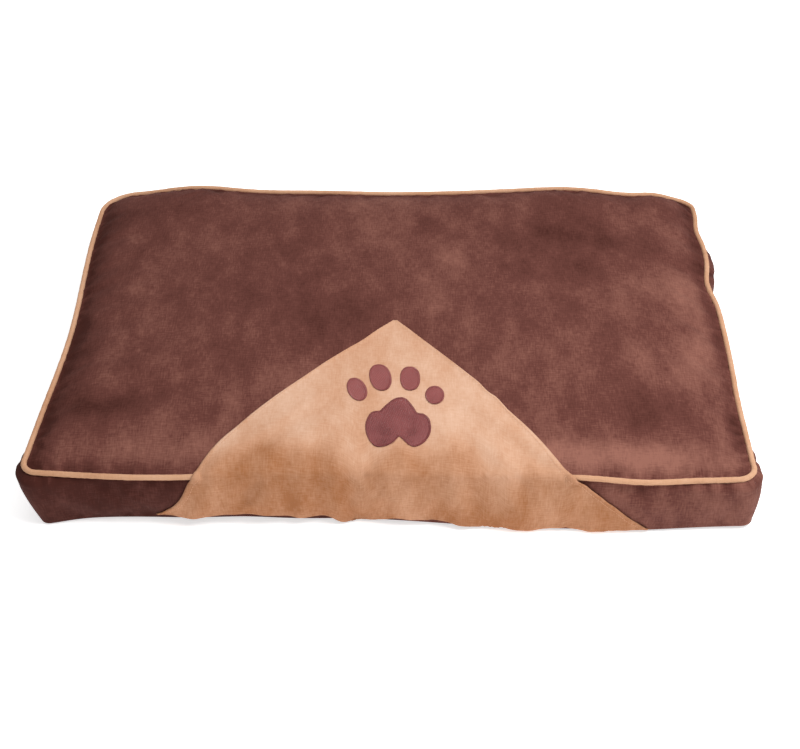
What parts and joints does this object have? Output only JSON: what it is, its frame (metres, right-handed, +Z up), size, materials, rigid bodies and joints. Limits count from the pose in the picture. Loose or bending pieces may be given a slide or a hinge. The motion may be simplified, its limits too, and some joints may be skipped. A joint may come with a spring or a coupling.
{
  "type": "pet cushion bed",
  "caption": "Boxed rectangular floor cushion for a pet, with a piped top edge, a contrast triangular front overlay with a paw motif, and a zip-off cover over a stuffed pad.",
  "frame": {"origin": "middle of the flat underside, on the floor", "axes": "+X across the cushion to the right as seen from the front, +Y from the front edge to the zipped back, +Z up"},
  "size_m": [0.8078, 0.5632, 0.111],
  "materials": {
    "brown_suede": "brushed short-nap suede cloth",
    "tan_suede": "brushed short-nap suede cloth",
    "tan_piping": "bias-cut suede cloth",
    "embroidery": "satin-stitched thread",
    "base_cloth": "plain woven base cloth",
    "liner_cloth": "non-woven casing cloth",
    "polyester_fibre": "loose fibre filling",
    "cotton_cord": "twisted cotton cord",
    "zip_tape": "woven herringbone tape",
    "zip_nylon": "moulded nylon teeth",
    "zip_metal": "antique plated zinc"
  },
  "bodies": {
    "cushion": {"top_panel": "brown_suede", "front_boxing": "brown_suede", "left_boxing": "brown_suede", "right_boxing": "brown_suede", "back_boxing_upper": "brown_suede", "back_boxing_lower": "brown_suede", "bottom_panel": "base_cloth", "front_overlay": "tan_suede", "paw_pad": "embroidery", "paw_toe_1": "embroidery", "paw_toe_2": "embroidery", "paw_toe_3": "embroidery", "paw_toe_4": "embroidery", "piping_cover": "tan_piping", "piping_cord": "cotton_cord", "pad_liner_top": "liner_cloth", "pad_liner_bottom": "liner_cloth", "pad_fill": "polyester_fibre", "zip_tape_upper": "zip_tape", "zip_tape_lower": "zip_tape", "zip_coil_upper": "zip_nylon", "zip_coil_lower": "zip_nylon", "zip_stop_closed": "zip_metal", "zip_stop_open": "zip_metal"},
    "slider": {"zip_slider": "zip_metal"},
    "pull": {"zip_pull": "zip_metal"}
  },
  "joints": [
    {"name": "zip_slide", "type": "slide", "parent": "cushion", "child": "slider", "axis": [1, 0, 0], "range_m": [0, 0.56]},
    {"name": "pull_swing", "type": "hinge", "parent": "slider", "child": "pull", "pos_m": [-0.2807, 0.28198, 0.04145], "axis": [0, 0, 1], "range_deg": [0, 170]}
  ]
}
